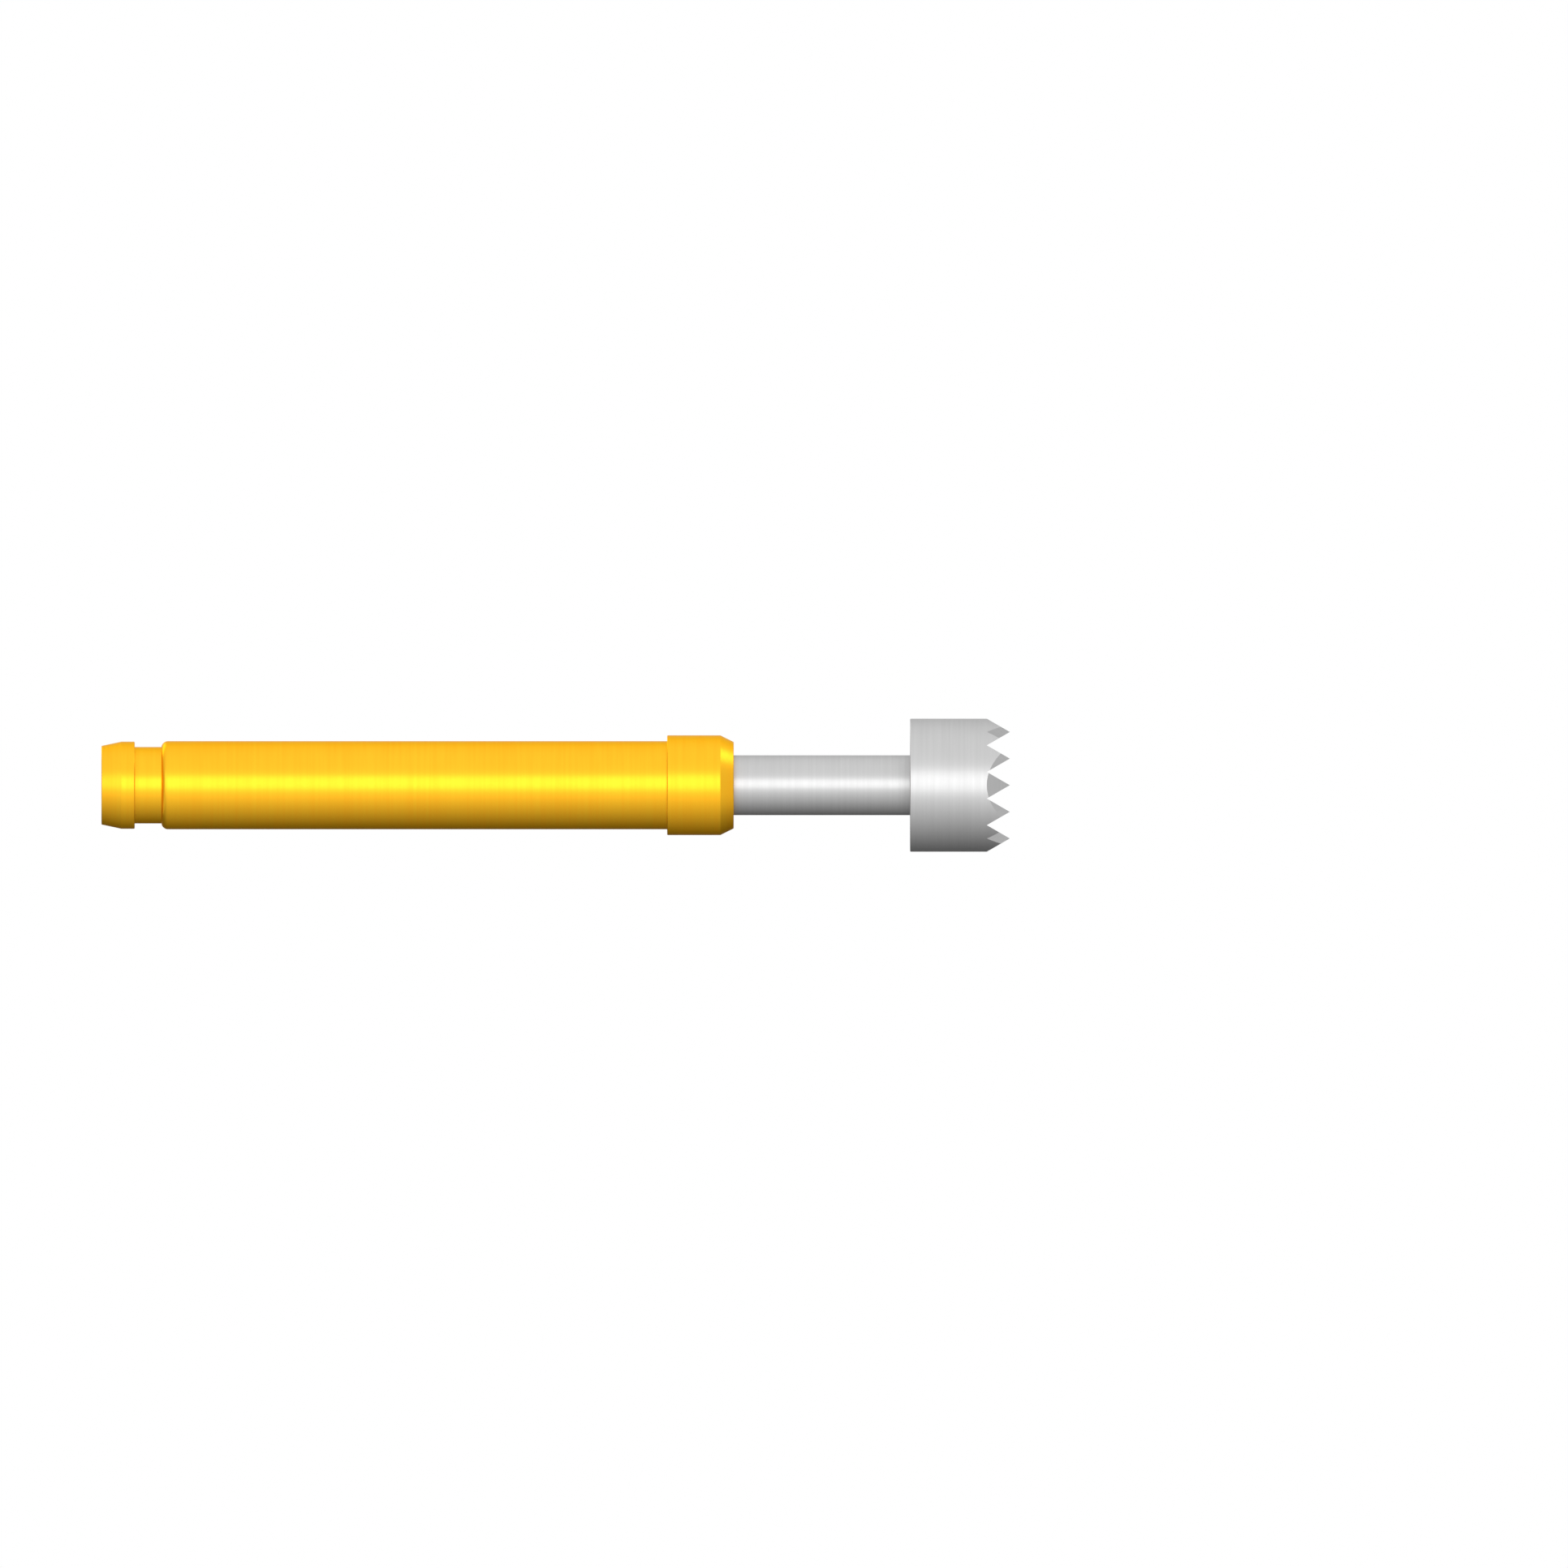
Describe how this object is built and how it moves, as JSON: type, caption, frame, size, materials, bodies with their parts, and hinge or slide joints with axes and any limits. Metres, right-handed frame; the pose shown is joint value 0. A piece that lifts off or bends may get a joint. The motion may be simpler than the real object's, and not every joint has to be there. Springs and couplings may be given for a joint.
{
  "type": "pogo pin",
  "caption": "Spring-loaded contact pin: a gold-plated barrel with a stop collar and latch-ring tail, and a nickel-plated plunger with a serrated crown head.",
  "frame": {"origin": "on the pin's axis, in the plane of the collar's rear face, which seats on the block that holds the pin", "axes": "+Z along the pin towards the crown head; X and Y along the two sets of crown grooves"},
  "size_m": [0.004, 0.004, 0.0273],
  "materials": {
    "gold_plate": "polished gold plate over turned brass",
    "nickel_plate": "satin nickel plate over turned steel",
    "ball_steel": "polished ball steel",
    "spring_steel": "drawn stainless spring wire"
  },
  "bodies": {
    "barrel": {"barrel": "gold_plate", "tail_plug": "gold_plate", "spring": "spring_steel"},
    "ball": {"bias_ball": "ball_steel"},
    "plunger": {"plunger": "nickel_plate"}
  },
  "joints": [
    {"name": "plunger_stroke", "type": "slide", "parent": "barrel", "child": "ball", "axis": [0, 0, -1], "range_m": [0, 0.005], "stiffness_N_per_m": 750, "deforming": ["spring"]},
    {"name": "plunger_spin", "type": "hinge", "parent": "ball", "child": "plunger", "pos_m": [0, 0, 0], "axis": [0, 0, 1], "continuous": true}
  ]
}
